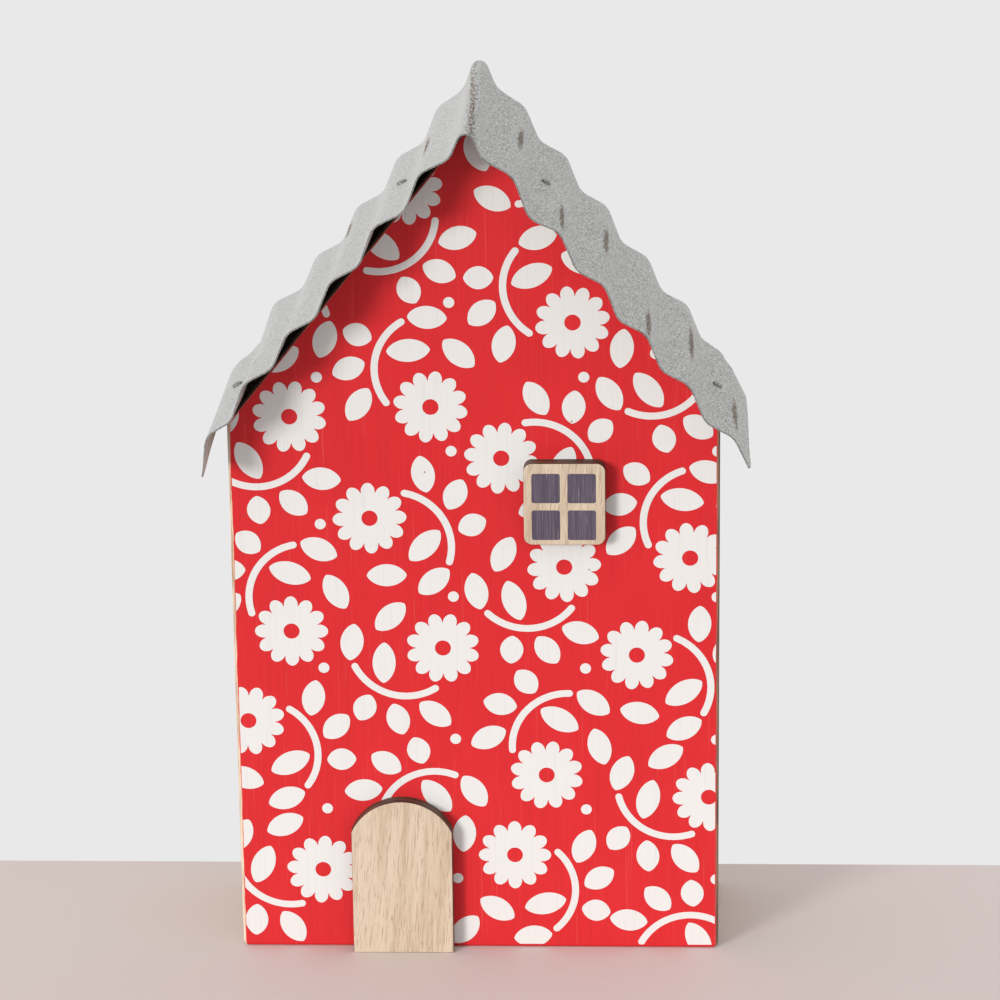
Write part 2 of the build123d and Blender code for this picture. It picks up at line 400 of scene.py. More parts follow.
def oak(boards):
    """Oak veneer with short dark upright pores; the cut edges are burnt dark and show the layers."""
    recipe = Recipe("oak_board")
    light = tuple(boards.oak)
    lean = math.radians(-4)
    rings = recipe.noise((260.0, 260.0, 13.0), detail=2.0, turn=lean, warp=1.2)
    fibre = recipe.noise((2300.0, 2300.0, 95.0), detail=3.0, turn=lean, warp=0.5)
    pores = recipe.stretch(recipe.noise((2500.0, 2500.0, 150.0), detail=3.0, turn=lean, warp=0.8), 0.54, 0.65)
    face = recipe.mix(recipe.stretch(rings, 0.35, 0.7), light, srgb(193, 170, 144))
    pale = recipe.math("MULTIPLY", recipe.stretch(fibre, 0.4, 0.66), 0.4)
    face = recipe.mix(pale, face, srgb(221, 206, 182))
    face = recipe.mix(recipe.math("MULTIPLY", pores, 0.6), face, srgb(160, 134, 108))
    layers = recipe.noise((60.0, 900.0, 60.0), detail=1.0)
    burnt = recipe.mix(recipe.stretch(layers, 0.42, 0.62), tuple(boards.burnt_and_gable_shade), srgb(108, 78, 54))
    edge = recipe.stretch(recipe.facing("Y"), 0.8, 0.6)
    recipe.bump(recipe.math("SUBTRACT", fibre, pores), 0.06 * MM, 0.6)
    return recipe.finish(recipe.mix(edge, face, burnt), recipe.stretch(fibre, 0.3, 0.7, 0.58, 0.72))


def print_ink(pattern):
    """Off-white ink that follows the board's grain, with a few brown specks where it missed."""
    recipe = Recipe("white_print")
    grain = upright_grain(recipe)
    cracks = recipe.stretch(recipe.noise((2400.0, 2400.0, 120.0), detail=2.0), 0.28, 0.22)
    ink = recipe.mix(recipe.stretch(grain, 0.3, 0.5), srgb(220, 218, 216), tuple(pattern.ink))
    ink = recipe.mix(recipe.math("MULTIPLY", cracks, 0.4), ink, srgb(196, 170, 156))
    ink = recipe.mix(recipe.specks(200.0, 0.08, 0.06), ink, srgb(164, 134, 116))
    recipe.bump(grain, 0.06 * MM, 0.5)
    return recipe.finish(ink, recipe.stretch(grain, 0.3, 0.7, 0.66, 0.56), Specular_IOR_Level=0.35)


def pane_paint(panes):
    """Dusky paint with a few pale upright scratches where the wood shows."""
    recipe = Recipe("pane_paint")
    streak = recipe.noise((2600.0, 2600.0, 70.0), detail=3.0)
    scratches = recipe.stretch(recipe.noise((3600.0, 3600.0, 110.0), detail=2.0), 0.64, 0.72)
    paint = recipe.mix(recipe.stretch(streak, 0.4, 0.65), tuple(panes.paint), srgb(98, 87, 103))
    paint = recipe.mix(recipe.math("MULTIPLY", scratches, 0.6), paint, srgb(160, 148, 150))
    recipe.bump(streak, 0.06 * MM, 0.6)
    return recipe.finish(paint, recipe.stretch(streak, 0.3, 0.7, 0.6, 0.5))


def galvanised(roof):
    """Dull zinc with dark and pale grains, worn brown where the sheet's wear attribute says; on the left
    slope an even pale grey is painted over the grains as painted light.
    """
    recipe = Recipe("galvanised_sheet")
    grains = recipe.noise((1500.0, 1000.0, 1500.0), detail=3.0, roughness=0.75)
    fine = recipe.noise((3100.0, 2100.0, 3100.0), detail=2.0, roughness=0.7)
    cloud = recipe.noise((90.0, 60.0, 90.0), detail=3.0)
    # Painted light: left of the ridge the grains fade towards an even pale grey, standing in for the main
    # light washing them out on that slope.
    lit_slope_wash = recipe.stretch(recipe.axis("X"), 1.0 * MM, -3.0 * MM)
    mottle = recipe.math("ADD", recipe.math("MULTIPLY", grains, 0.6), recipe.math("MULTIPLY", fine, 0.4))
    zinc = recipe.mix(recipe.stretch(mottle, 0.41, 0.57), tuple(roof.tarnish), tuple(roof.metal))
    pale = recipe.math("MULTIPLY", recipe.stretch(cloud, 0.45, 0.75), 0.2)
    zinc = recipe.mix(pale, zinc, srgb(210, 211, 207))
    zinc = recipe.mix(recipe.math("MULTIPLY", lit_slope_wash, 0.55), zinc, srgb(197, 197, 197))
    wear = recipe.add("ShaderNodeAttribute", attribute_name="wear").outputs["Fac"]
    broken = recipe.noise((1500.0, 420.0, 1500.0), detail=3.0, roughness=0.8)
    worn = recipe.math("ADD", broken, recipe.math("MULTIPLY", recipe.math("SUBTRACT", wear, 0.5), 0.5))
    worn = recipe.math("MULTIPLY", recipe.stretch(worn, 0.52, 0.62), recipe.stretch(wear, 0.12, 0.4))
    rust = recipe.mix(recipe.stretch(fine, 0.42, 0.58), srgb(62, 48, 40), tuple(roof.rust))
    rust = recipe.mix(recipe.stretch(grains, 0.54, 0.62), rust, srgb(172, 156, 126))
    recipe.bump(mottle, 0.06 * MM, 0.4)
    recipe.set(recipe.shader, "Metallic", recipe.stretch(worn, 0.0, 1.0, 0.3, 0.0))
    roughness = recipe.stretch(mottle, 0.4, 0.6, 0.66, 0.5)
    return recipe.finish(recipe.mix(recipe.math("MULTIPLY", worn, 0.95), zinc, rust), roughness)


def cut_metal():
    """The sheared edge of the sheet: bright steel with fine marks across it."""
    recipe = Recipe("sheared_edge")
    marks = recipe.noise((2600.0, 2600.0, 2600.0), detail=2.0)
    steel = recipe.mix(recipe.stretch(marks, 0.4, 0.6), srgb(112, 112, 109), srgb(168, 168, 165))
    return recipe.finish(steel, recipe.stretch(marks, 0.3, 0.7, 0.55, 0.4), Metallic=0.4)


def pin_steel(name, paint=None):
    """Drawn steel with fine marks; the ends that face the front may be painted over."""
    recipe = Recipe(name)
    marks = recipe.noise((3000.0, 3000.0, 3000.0), detail=3.0)
    steel = recipe.mix(recipe.stretch(marks, 0.4, 0.62), srgb(96, 95, 93), srgb(188, 187, 184))
    if paint is None:
        return recipe.finish(steel, recipe.stretch(marks, 0.3, 0.7, 0.5, 0.3), Metallic=0.85)
    covered = recipe.math("LESS_THAN", recipe.axis("Y"), FRONT_FACE + 0.05 * MM)
    grain = upright_grain(recipe)
    deep = tuple(value * 0.88 for value in paint)
    red = recipe.mix(recipe.stretch(grain, 0.4, 0.56), deep, tuple(paint))
    return recipe.finish(recipe.mix(covered, steel, red), 0.55)


# --- Flower print ----------------------------------------------------------
# One group of marks, about its own middle, in mm: a daisy, a stem that curves past it, and leaves.
DAISY = (-9, 8)
STEM = (4.5, 9, 10, -3, 4, -17)
LEAVES = [
    (10.5, 5.5, 15, 16.5), (13, -2.5, 22, 3), (12, -10, 21, -11.5),
    (2.5, -19, -9.5, -20.5), (7, -7, -6, -10), (-9.5, -13.5, -20, -7),
]
PETALS = 12
PETAL_DEPTH = 0.28
PETAL_ROUNDNESS = 0.6
PETAL_STEPS = 14
GROUP_TURN = math.radians(137.5)
LEAF_FULLNESS = 0.68
ROUND_STEPS = 28
STEM_END_STEPS = 9
# The lattice columns that reach the board, counted from its middle.
PRINT_COLUMNS = range(-2, 2)
# A mark is left out unless it reaches this far inside the gable and above the foot.
GABLE_REACH = 3 * MM
FOOT_REACH = 2.5 * MM
FOOT_RADIUS = 1.2 * MM
FOOT_STEPS = 6
# For the triangulation: keep what lies inside an outline, and join points nearer than this.
INSIDE_ONLY = 1
JOIN_DISTANCE = 1e-7


def circle(x, z, radius, steps=ROUND_STEPS):
    """Points round a circle, anticlockwise as seen from the front."""
    angle = np.linspace(0, 2 * math.pi, steps, endpoint=False)
    return np.column_stack([x + radius * np.cos(angle), z + radius * np.sin(angle)])


def flower_outline(x, z, turn, radius):
    """A daisy of twelve even petals: at the angle a its reach falls short by a share of 1 - |cos 6a|^0.6."""
    angle = np.linspace(0, 2 * math.pi, PETALS * PETAL_STEPS, endpoint=False)
    swell = np.abs(np.cos(PETALS / 2 * angle)) ** PETAL_ROUNDNESS
    reach = radius * (1 - PETAL_DEPTH * (1 - swell))
    return np.column_stack([x + reach * np.cos(angle + turn), z + reach * np.sin(angle + turn)])


def leaf_outline(x1, z1, x2, z2, width):
    """A leaf between two tips: its half width at t, from -1 to 1, is width / 2 times (1 - t^2)^0.68."""
    start, end = np.array([x1, z1]), np.array([x2, z2])
    middle, half = (start + end) / 2, (end - start) / 2
    across = unit(np.array([-half[1], half[0]]))
    t = -np.cos(np.linspace(0, math.pi, ROUND_STEPS))
    reach = width / 2 * (1 - t**2) ** LEAF_FULLNESS
    lower = middle + t[:, None] * half - reach[:, None] * across
    upper = middle + t[:, None] * half + reach[:, None] * across
    return np.vstack([lower, upper[-2:0:-1]])


def arc_through(start, middle, end, steps):
    """Points along the circle through three points."""
    a, b, c = (np.array(point) for point in (start, middle, end))
    sides = np.array([b - a, c - a])
    centre = a + np.linalg.solve(2 * sides, (sides**2).sum(1))
    first, last = (math.atan2(*(point - centre)[::-1]) for point in (a, c))
    turn = np.cross(*sides)
    sweep = (last - first) % (2 * math.pi) if turn > 0 else -((first - last) % (2 * math.pi))
    angle = first + np.linspace(0, 1, steps) * sweep
    return centre + np.linalg.norm(a - centre) * np.column_stack([np.cos(angle), np.sin(angle)])


def stem_outline(points, width):
    """A band of even width along an arc, with round ends: the arc moved out by half the width each way."""
    line = arc_through(points[0:2], points[2:4], points[4:6], ROUND_STEPS)
    along = unit(np.gradient(line, axis=0))
    across = np.column_stack([-along[:, 1], along[:, 0]])
    bend = np.linspace(-math.pi / 2, math.pi / 2, STEM_END_STEPS)[1:-1, None]
    end_cap = line[-1] + width / 2 * (np.cos(bend) * along[-1] + np.sin(bend) * across[-1])
    start_cap = line[0] - width / 2 * (np.cos(bend) * along[0] + np.sin(bend) * across[0])
    right = line - across * width / 2
    left = line + across * width / 2
    return np.vstack([right, end_cap, left[::-1], start_cap])


def board_outline(margin):
    """The front board's outline moved in by a margin, with its two feet rounded."""
    half = HALF_WIDTH - margin
    drop = margin / math.cos(SLOPE_ANGLE)
    shoulder = RIDGE_HEIGHT - drop - half * math.tan(SLOPE_ANGLE)
    foot = FOOT_RADIUS
    angle = np.linspace(0, math.pi / 2, FOOT_STEPS)
    right = np.column_stack([half - foot + foot * np.sin(angle), margin + foot - foot * np.cos(angle)])
    left = np.column_stack([-half + foot - foot * np.cos(angle), margin + foot - foot * np.sin(angle)])
    return np.vstack([left, right, [[half, shoulder], [0, RIDGE_HEIGHT - drop], [-half, shoulder]]])


def placed(points, place, turn):
    """Points, as a flat list of X and Z in mm, turned about their group's middle and moved to its place."""
    x, z = np.array(points, dtype=float).reshape(-1, 2).T * MM
    turned = [x * math.cos(turn) - z * math.sin(turn), x * math.sin(turn) + z * math.cos(turn)]
    return (np.column_stack(turned) + place).ravel()


def print_shapes(pattern):
    """Outlines of every printed mark and of every unprinted eye.

    The groups stand on an even triangular lattice, each turned further than the last by the golden
    angle, with a dot midway between three of them.
    """
    marks, eyes = [], []
    step = pattern.pitch * math.cos(math.radians(30))
    rows = math.ceil(RIDGE_HEIGHT / pattern.pitch) + 1
    for column in PRINT_COLUMNS:
        for row in range(-1, rows):
            middle = np.array([(column + 0.5) * step, (row + 0.5 + column % 2 / 2) * pattern.pitch])
            turn = GROUP_TURN * (rows * column + row)
            daisy = placed(DAISY, middle, turn)
            marks.append(flower_outline(*daisy, turn, pattern.flower_radius))
            eyes.append(circle(*daisy, pattern.eye_radius))
            marks.append(circle(middle[0] + step / 3, middle[1] + pattern.pitch / 2, pattern.dot_radius))
            marks += [leaf_outline(*placed(leaf, middle, turn), pattern.leaf_width) for leaf in LEAVES]
            marks.append(stem_outline(placed(STEM, middle, turn), pattern.stem_width))
    return [shape for shape in marks if near_board(shape)], [shape for shape in eyes if near_board(shape)]


def near_board(shape):
    """True if a shape reaches well above the board's foot and well inside its gable."""
    drop = (RIDGE_HEIGHT - shape[:, 1]) * math.cos(SLOPE_ANGLE)
    inside = drop - np.abs(shape[:, 0]) * math.sin(SLOPE_ANGLE)
    return shape[:, 1].max() > FOOT_REACH and inside.max() > GABLE_REACH


def merged_film(outline, marks, eyes):
    """Triangles of all the marks as one flat film, cut to the outline and open at the eyes.

    Every outline goes into one triangulation that keeps their edges. A triangle is kept if it lies in
    the board's outline and in a mark, and in no eye.
    """
    shapes = [outline, *marks, *eyes]
    counts = np.array([len(shape) for shape in shapes])
    starts = np.concatenate([[0], np.cumsum(counts)[:-1]])
    faces = [list(range(start, start + count)) for start, count in zip(starts, counts)]
    found = delaunay_2d_cdt(np.vstack(shapes).tolist(), [], faces, INSIDE_ONLY, JOIN_DISTANCE, True)
    points, triangles, sources = found[0], found[2], found[5]
    first_eye = 1 + len(marks)
    kept = [
        triangle
        for triangle, source in zip(triangles, sources)
        if 0 in source and any(0 < n < first_eye for n in source) and not any(n >= first_eye for n in source)
    ]
    used, kept = np.unique(np.array(kept), return_inverse=True)
    return np.array([tuple(point) for point in points])[used], kept.reshape(-1, 3)


def build_print(pattern):
    """The printed film on the front board."""
    marks, eyes = print_shapes(pattern)
    flat, triangles = merged_film(board_outline(pattern.margin), marks, eyes)
    depth = np.full(len(flat), FRONT_FACE - FILM_GAP)
    points = np.column_stack([flat[:, 0], depth, flat[:, 1]])
    edges = flat[triangles]
    facing = np.cross(edges[:, 1] - edges[:, 0], edges[:, 2] - edges[:, 0]) < 0
    triangles[facing] = triangles[facing][:, ::-1]
    piece = make_piece("flower_print", points, triangles.tolist(), smooth=False)
    thicken(piece, pattern.film, 1)
    piece.data.materials.append(print_ink(pattern))
    return piece


# --- Corrugated roof -------------------------------------------------------
LEFT_TAIL_ANGLE = math.radians(78)
RIGHT_TAIL_ANGLE = math.radians(64)
BEND_STEPS = 17
EDGE_WAVER = 0.12 * MM
SHEET_WAVER = 0.1 * MM
# How much of each eave's end its change of length is spread over.
EAVE_REACH = 10 * MM
# Where the marks start and where they are full, down from the ridge.
RIDGE_FADE = (2 * MM, 12 * MM)

# Marks of hand work on the sheet. Side, distance down the slope, place in depth,
# reach along the slope, reach in depth, slide down the slope and lift, in mm.
DENTS = [
    (RIGHT, 48, -47, 22, 24, 1.8, 0.0),
    (RIGHT, 29, -47, 6, 10, 0.6, -0.7),
    (RIGHT, 22, 47, 22, 40, 0.0, 0.5),
    (RIGHT, 136, -47, 14, 16, 0.7, -0.2),
    (LEFT, 64, -47, 26, 30, 0.8, 0.9),
    (LEFT, 100, -47, 20, 26, 0.4, 1.4),
    (LEFT, 37, -47, 10, 14, 0.3, 0.8),
    (LEFT, 16, -47, 8, 14, 0.0, 0.5),
    (LEFT, 104, 47, 14, 24, 0.0, 1.2),
    (LEFT, 132, -47, 8, 20, -0.3, -0.9),
]
# The same where the sheet overhangs the back.
BACK_DENTS = [
    (RIGHT, 122, 47, 20, 20, -1.2, -1.8),
    (RIGHT, 111, 47, 7, 20, 0.0, 0.7),
    (RIGHT, 130, 47, 8, 20, 0.0, -1.6),
    (LEFT, 132, 47, 14, 20, -2.7, -7.2),
    (RIGHT, 80, 47, 16, 16, 0.3, -0.6),
    (LEFT, 44, 47, 24, 20, 0.0, -0.4),
]
# How far the ridge lies above its straight line at the front and at the back.
RIDGE_LIFT = (-0.1 * MM, 2.3 * MM)
RIDGE_LIFT_REACH = 7 * MM
# The second and the last trough hold the nails, which keep the sheet down round them.
NAILED_TROUGHS = (1, -1)
NAIL_HOLD = 9 * MM
# Worn places on the crests: side, which crest, place in depth and reach in depth, in mm.
WORN_CRESTS = [
    (RIGHT, 0, 6, 17), (RIGHT, 1, -27, 17), (RIGHT, 2, 5, 21), (RIGHT, 3, -31, 22),
    (RIGHT, 4, 4, 24), (RIGHT, 5, -18, 20), (LEFT, 0, -4, 14), (LEFT, 2, 20, 13), (LEFT, 4, -22, 12),
]
WORN_HALF_WIDTH = 2.0 * MM
# How far below its crest a worn streak lies.
WORN_DROP = 1.3 * MM


def trough_lift(roof, run_down, run_up):
    """How far a trough's round bend stays above its corner point."""
    fall = math.atan2(roof.wave_rise, run_down)
    climb = math.atan2(roof.wave_rise, run_up)
    return roof.bend_radius * (math.cos((climb - fall) / 2) / math.cos((fall + climb) / 2) - 1)


def slope_point(side, station, height):
    """X and Z of points on one roof slope: station down from the ridge, height off the wood."""
    x = station * math.cos(SLOPE_ANGLE) + height * math.sin(SLOPE_ANGLE)
    z = RIDGE_HEIGHT - station * math.sin(SLOPE_ANGLE) + height * math.cos(SLOPE_ANGLE)
    return np.column_stack([side * x, z])


def crest_stations(roof):
    """Stations of the crests on one slope, out to the first one past the wall."""
    count = math.ceil((SLOPE_LENGTH - roof.first_crest) / roof.wave_pitch) + 1
    return roof.first_crest + roof.wave_pitch * np.arange(count)


def slope_corners(roof, side, tail, tail_angle):
    """Corner points of one slope's waves, from the ridge down to the end of the drooping eave."""
    crests = crest_stations(roof)
    climb_run = (1 - roof.wave_lean) * roof.wave_pitch
    fall_run = roof.wave_lean * roof.wave_pitch
    troughs = crests - climb_run
    seat = roof.gap + roof.thickness / 2
    high = seat - trough_lift(roof, fall_run, climb_run) + roof.wave_rise
    first_run = troughs[0] + high * math.tan(SLOPE_ANGLE)
    low = np.full(len(troughs), seat - trough_lift(roof, fall_run, climb_run))
    low[0] = seat - trough_lift(roof, first_run, climb_run)
    stations = np.column_stack([troughs, crests]).ravel()
    heights = np.column_stack([low, np.full(len(crests), high)]).ravel()
    points = slope_point(side, stations, heights)
    drop = points[-1] + tail * np.array([side * math.cos(tail_angle), -math.sin(tail_angle)])
    return np.vstack([points, drop]), high


def rounded_line(corners, radii):
    """A line of straight runs whose corners are arcs, and the length along it at each point.

    Each arc touches its two runs at radius / tan(half the angle between them) from the corner. Its
    points turn evenly about its centre, which lies on the line that halves the angle, at
    radius / sin(half the angle).
    """
    corner = corners[1:-1]
    back, ahead = unit(corners[:-2] - corner), unit(corners[2:] - corner)
    half = np.arccos(np.clip((back * ahead).sum(1), -1, 1)) / 2
    reach = (radii / np.tan(half))[:, None]
    centre = corner + unit(back + ahead) * (radii / np.sin(half))[:, None]
    first, last = corner + back * reach - centre, corner + ahead * reach - centre
    turn = (math.pi - 2 * half)[:, None, None]
    part = np.linspace(0, 1, BEND_STEPS)[None, :, None]
    swing = np.sin((1 - part) * turn) * first[:, None] + np.sin(part * turn) * last[:, None]
    arcs = centre[:, None] + swing / np.sin(turn)
    line = np.vstack([corners[:1], arcs.reshape(-1, 2), corners[-1:]])
    steps = np.linalg.norm(np.diff(line, axis=0), axis=1)
    return line, np.concatenate([[0], np.cumsum(steps)])


def sheet_surface(roof):
    """Points of the sheet's middle surface, and how worn each one is.

    The section, a row of rounded waves folded over the ridge, is carried straight back. The two
    drooping ends get shorter or longer in depth, and each dent slides and lifts the sheet by a bell
    shape in distance down the slope and in depth.
    """
    left, high = slope_corners(roof, LEFT, roof.left_tail, LEFT_TAIL_ANGLE)
    right = slope_corners(roof, RIGHT, roof.right_tail, RIGHT_TAIL_ANGLE)[0]
    ridge = np.array([[0, RIDGE_HEIGHT + high / math.cos(SLOPE_ANGLE)]])
    corners = np.vstack([left[::-1], ridge, right])
    radii = np.full(len(corners) - 2, roof.bend_radius)
    radii[len(left) - 1] = roof.ridge_radius
    line, walked = rounded_line(corners, radii)

    along = np.linspace(0, walked[-1], roof.columns)[:, None]
    depth = np.linspace(0, 1, roof.rows)[None, :] * (SHEET_HIGH.y - SHEET_LOW.y) + SHEET_LOW.y
    along, depth = np.broadcast_arrays(along, depth)
    left_end = 1.0 * MM * rise(depth, -30 * MM, 47 * MM)
    right_end = 1.6 * MM * rise(depth, 20 * MM, 47 * MM) + 0.9 * MM * rise(depth, -43 * MM, -47 * MM)
    near_left = np.clip(1 - along / EAVE_REACH, 0, 1)
    near_right = np.clip(1 - (walked[-1] - along) / EAVE_REACH, 0, 1)
    walk = along + left_end * near_left - right_end * near_right
    x = np.interp(walk, walked, line[:, 0])
    z = np.interp(walk, walked, line[:, 1])

    side = np.where(x < 0, LEFT, RIGHT)
    station = np.abs(x) * math.cos(SLOPE_ANGLE) + (RIDGE_HEIGHT - z) * math.sin(SLOPE_ANGLE)
    slide, lift = np.zeros_like(x), np.zeros_like(x)
    overhang = rise(depth, BACK_FACE, SHEET_HIGH.y)
    off_ridge = rise(station, *RIDGE_FADE)
    for dents, strength in ((DENTS, 1.0), (BACK_DENTS, overhang)):
        for dent_side, down, deep, reach, reach_deep, slid, lifted in dents:
            hill = bell((station - down * MM) / (reach * MM)) * bell((depth - deep * MM) / (reach_deep * MM))
            hill = hill * strength * (side == dent_side) * off_ridge
            slide += slid * MM * hill
            lift += lifted * MM * hill
    held = held_down(roof, station, depth)
    slide, lift = slide * held, lift * held
    waver = SHEET_WAVER * np.sin(station * 61 + depth * 37) * np.sin(depth * 83 + 1.3)
    lift = lift + waver * held * off_ridge
    ridge_lift = np.interp(depth, [SHEET_LOW.y, SHEET_HIGH.y], RIDGE_LIFT) * bell(x / RIDGE_LIFT_REACH)
    moved_x = x + side * (slide * math.cos(SLOPE_ANGLE) + lift * math.sin(SLOPE_ANGLE))
    moved_z = z - slide * math.sin(SLOPE_ANGLE) + lift * math.cos(SLOPE_ANGLE) + ridge_lift
    edge = np.abs(depth) / SHEET_HIGH.y
    moved_y = depth + EDGE_WAVER * edge**8 * np.sin(station * 540 + side) * np.sin(station * 171)
    points = np.stack([moved_x, moved_y, moved_z], axis=-1).reshape(-1, 3)
    return points, worn_places(roof, x, side, station, depth).ravel()


def held_down(roof, station, depth):
    """From 0 at a nail to 1 away from it: 1 less a bell shape in the distance from the nail."""
    climb_run = (1 - roof.wave_lean) * roof.wave_pitch
    along = roof.nail_up_flank * math.cos(math.atan2(roof.wave_rise, climb_run))
    troughs = crest_stations(roof) - climb_run
    free = np.ones_like(station)
    for trough in NAILED_TROUGHS:
        free *= 1 - bell((station - troughs[trough] - along) / NAIL_HOLD) * bell(depth / NAIL_HOLD)
    return free


def worn_places(roof, x, side, station, depth):
    """From 0 to 1, how worn the sheet is: on streaks along the crests and on the fold of the ridge.

    The band on the fold is a bell shape across it, and drifts from its right side to its left
    towards the back.
    """
    crests = crest_stations(roof)
    backwards = (depth - SHEET_LOW.y) / (SHEET_HIGH.y - SHEET_LOW.y)
    wear = (0.74 - 0.1 * backwards) * bell((x - (1.4 - 3.0 * backwards) * MM) / (1.7 * MM))
    for worn_side, crest, deep, reach in WORN_CRESTS:
        across = bell((station - crests[crest] - WORN_DROP) / WORN_HALF_WIDTH)
        streak = across * bell((depth - deep * MM) / (reach * MM))
        wear = np.maximum(wear, streak * (side == worn_side))
    return wear


def build_sheet(roof):
    """The corrugated sheet, with its wall."""
    points, wear = sheet_surface(roof)
    faces = grid_faces(roof.columns, roof.rows)[:, ::-1].tolist()
    piece = make_piece("corrugated_roof", points, faces, replaces=["roof_sheet"])
    sharpen_rim(piece.data)
    piece.data.attributes.new("wear", "FLOAT", "POINT").data.foreach_set("value", wear)
    thicken(piece, roof.thickness, 0)
    piece.modifiers["Wall"].material_offset_rim = 1
    piece.data.materials.append(galvanised(roof))
    piece.data.materials.append(cut_metal())
    return piece


# --- Window panes ----------------------------------------------------------
# Left and right sides of the panes from the window board's left side, and their tops and
# bottoms from its top, in mm.
PANE_COLUMNS = [(2.45, 11.1), (13.45, 22.1)]
PANE_ROWS = [(3.2, 12.55), (14.9, 24.4)]
PANE_STEPS = 64
PANE_RINGS = 4
INNER_RING = 0.25


def pane_surface(low_x, high_x, low_z, high_z, corner):
    """Points and faces of a flat film with rounded corners.

    The outline is a circle of the corner's radius whose four quarters are moved out to the four
    corners. The rings inside it shrink evenly towards the middle point, which closes them.
    """
    angle = (np.arange(PANE_STEPS) + 0.5) * 2 * math.pi / PANE_STEPS
    way = np.column_stack([np.cos(angle), np.sin(angle)])
    half = np.array([high_x - low_x, high_z - low_z]) / 2 - corner
    rim = np.sign(way) * half + corner * way
    rings = np.linspace(1, INNER_RING, PANE_RINGS)[None, :, None]
    middle = np.array([low_x + high_x, low_z + high_z]) / 2
    flat = np.vstack([(middle + rim[:, None, :] * rings).reshape(-1, 2), middle])
    inner = np.arange(PANE_STEPS) * PANE_RINGS + PANE_RINGS - 1
    hub = np.column_stack([inner, np.roll(inner, -1), np.full(PANE_STEPS, len(flat) - 1)])
    faces = grid_faces(PANE_STEPS, PANE_RINGS, closed=True)[:, ::-1].tolist() + hub.tolist()
    points = np.column_stack([flat[:, 0], np.full(len(flat), WINDOW_LOW.y - FILM_GAP), flat[:, 1]])
    return points, faces


def build_panes(panes):
    """Four painted panes, each a thin film on the window board."""
    paint = pane_paint(panes)
    places = [(column, row) for row in PANE_ROWS for column in PANE_COLUMNS]
    for number, ((left, right), (top, bottom)) in enumerate(places, 1):
        points, faces = pane_surface(
            WINDOW_LOW.x + left * MM, WINDOW_LOW.x + right * MM,
            WINDOW_HIGH.z - bottom * MM, WINDOW_HIGH.z - top * MM, panes.corner,
        )
        pane = make_piece(f"window_pane_{number}", points, faces, smooth=False)
        thicken(pane, panes.film, 1)
        pane.data.materials.append(paint)


# --- Stage -----------------------------------------------------------------
CAMERA_PLACE = (62.4 * MM, -1253.3 * MM, 539.4 * MM)
CAMERA_PITCH = math.radians(17.65)
CAMERA_YAW = math.radians(-2.54)
CAMERA_ROLL = math.radians(0.71)
CAMERA_LENS = 151.2
SENSOR_WIDTH = 36.0
KEY_AZIMUTH = math.radians(-38)
KEY_HEIGHT = math.radians(13)
FLOOR_REACH = 6
FLOOR_POINTS = 7
FLOOR_SHINE = 0.25
# Well in front of the house the floor turns dark, so that it lights the front less from below.
DARK_FLOOR = srgb(96, 90, 88)
DARK_FLOOR_START = -0.2
DARK_FLOOR_FULL = -0.4


def looking(pitch, yaw, roll):
    """A camera's turn: pitch below level, yaw from +Y towards +X, and roll about its own line of sight."""
    ahead = np.array([math.sin(yaw) * math.cos(pitch), math.cos(yaw) * math.cos(pitch), -math.sin(pitch)])
    level = np.array([math.cos(yaw), -math.sin(yaw), 0])
    down = np.cross(ahead, level)
    right = math.cos(roll) * level + math.sin(roll) * down
    under = -math.sin(roll) * level + math.cos(roll) * down
    return Matrix(np.column_stack([right, -under, -ahead]).tolist()).to_4x4()


def add_camera():
    """The camera that sees the front a little from above."""
    camera = bpy.data.objects.new("camera", bpy.data.cameras.new("camera"))
    camera.data.lens = CAMERA_LENS
    camera.data.sensor_width = SENSOR_WIDTH
    camera.matrix_world = Matrix.Translation(CAMERA_PLACE) @ looking(CAMERA_PITCH, CAMERA_YAW, CAMERA_ROLL)
    bpy.context.scene.collection.objects.link(camera)
    bpy.context.scene.camera = camera


def add_lights(stage):
    """A broad main light from the front left, and the even light of a pale room."""
    key = bpy.data.objects.new("key_light", bpy.data.lights.new("key_light", "SUN"))
    key.data.energy = stage.key_strength
    key.data.angle = stage.key_softness
    key.data.color = srgb(255, 253, 250)
    level = math.cos(KEY_HEIGHT)
    source = np.array([math.sin(KEY_AZIMUTH) * level, -math.cos(KEY_AZIMUTH) * level, math.sin(KEY_HEIGHT)])
    side = unit(np.cross([0, 0, 1], source))
    key.matrix_world = Matrix(np.column_stack([side, np.cross(source, side), source]).tolist()).to_4x4()
    bpy.context.scene.collection.objects.link(key)
    world = bpy.data.worlds.new("pale_room")
    world.use_nodes = True
    background = world.node_tree.nodes["Background"]
    background.inputs["Color"].default_value = (*srgb(252, 252, 253), 1)
    background.inputs["Strength"].default_value = stage.room_strength
    bpy.context.scene.world = world


